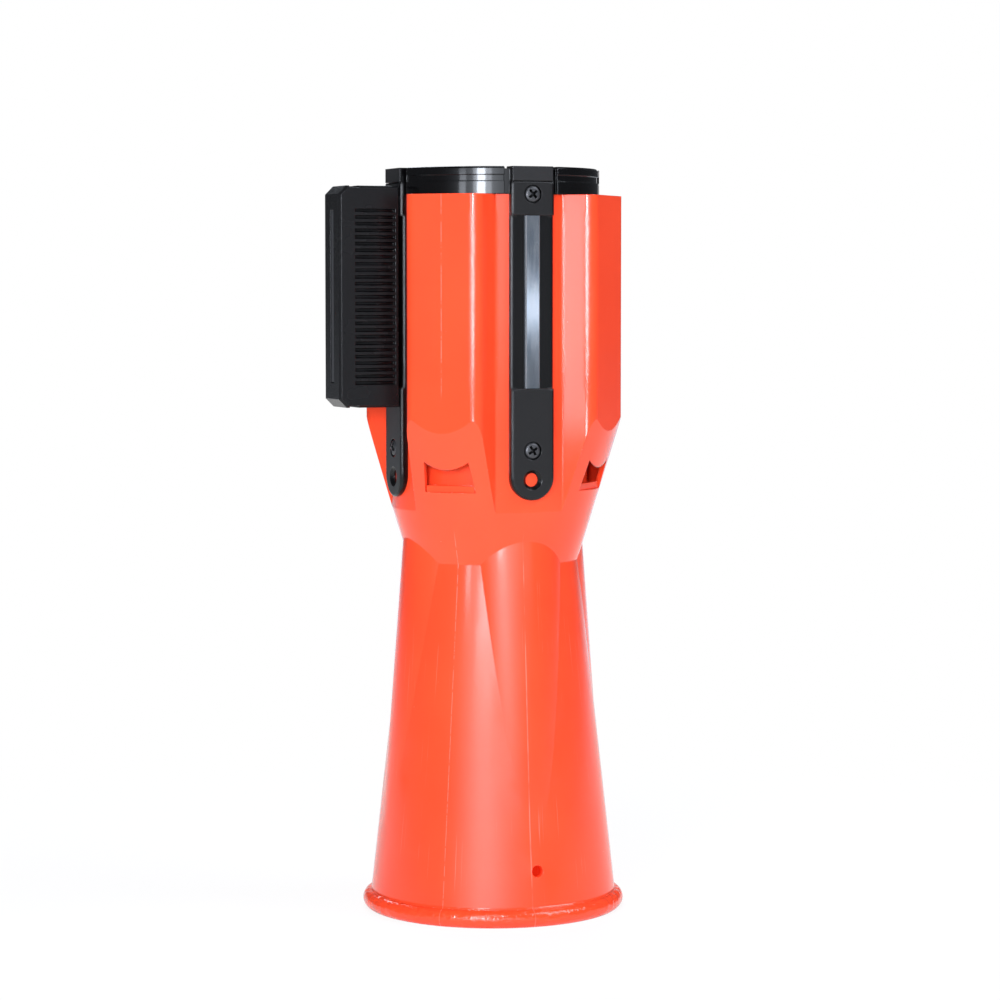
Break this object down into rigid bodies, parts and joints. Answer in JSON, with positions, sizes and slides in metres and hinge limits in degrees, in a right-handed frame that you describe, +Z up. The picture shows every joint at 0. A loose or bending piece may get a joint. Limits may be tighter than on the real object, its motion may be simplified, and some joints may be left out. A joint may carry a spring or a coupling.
{
  "type": "cone topper belt barrier",
  "caption": "Plastic topper that drops over a traffic cone: flared skirt, lobed head with steel-faced receivers, and a spring-wound belt that pulls out on a ribbed clip.",
  "frame": {"origin": "on the vertical axis, in the plane of the skirt's base ring", "axes": "+Z up the axis; the belt leaves towards -X; receivers face -Y, +X and +Y"},
  "size_m": [0.1404, 0.1226, 0.345],
  "materials": {
    "red_plastic": "moulded, glossy",
    "black_plastic": "moulded, satin",
    "keeper_steel": "zinc plated",
    "black_screw": "black oxide",
    "zinc_steel": "zinc plated",
    "spring_steel": "blued",
    "bush_plastic": "plain",
    "belt_webbing": "woven polyester",
    "magnet": "bonded ferrite"
  },
  "bodies": {
    "housing": {"housing": "red_plastic", "cone_seat": "red_plastic", "top_cap": "black_plastic", "receiver_front": "black_plastic", "receiver_right": "black_plastic", "receiver_rear": "black_plastic", "belt_outlet": "black_plastic", "keeper_front": "keeper_steel", "keeper_right": "keeper_steel", "keeper_rear": "keeper_steel", "cap_screws": "black_screw", "receiver_screws": "black_screw", "cassette_base": "black_plastic", "cassette_top": "black_plastic", "cassette_pillars": "zinc_steel", "pillar_screws": "zinc_steel", "base_screws": "zinc_steel", "axle": "zinc_steel", "axle_ring": "zinc_steel", "belt_guide": "black_plastic", "belt_feed": "belt_webbing"},
    "spool": {"spool": "black_plastic", "spool_cover": "black_plastic", "belt_roll": "belt_webbing", "power_spring": "spring_steel", "lower_bush": "bush_plastic", "upper_bush": "bush_plastic"},
    "clip": {"belt_clip": "black_plastic", "clip_magnet": "magnet", "belt_pin": "zinc_steel", "belt_run": "belt_webbing"}
  },
  "joints": [
    {"name": "belt_pull", "type": "slide", "parent": "housing", "child": "clip", "axis": [-1, 0, 0], "range_m": [0, 3], "stiffness_N_per_m": 2, "springref_m": -1.5},
    {"name": "spool_spin", "type": "hinge", "parent": "housing", "child": "spool", "pos_m": [0, 0, 0.2838], "axis": [0, 0, 1], "continuous": true}
  ],
  "couplings": [
    {"joint": "spool_spin", "follows": "belt_pull", "rad_per_m": -45}
  ]
}
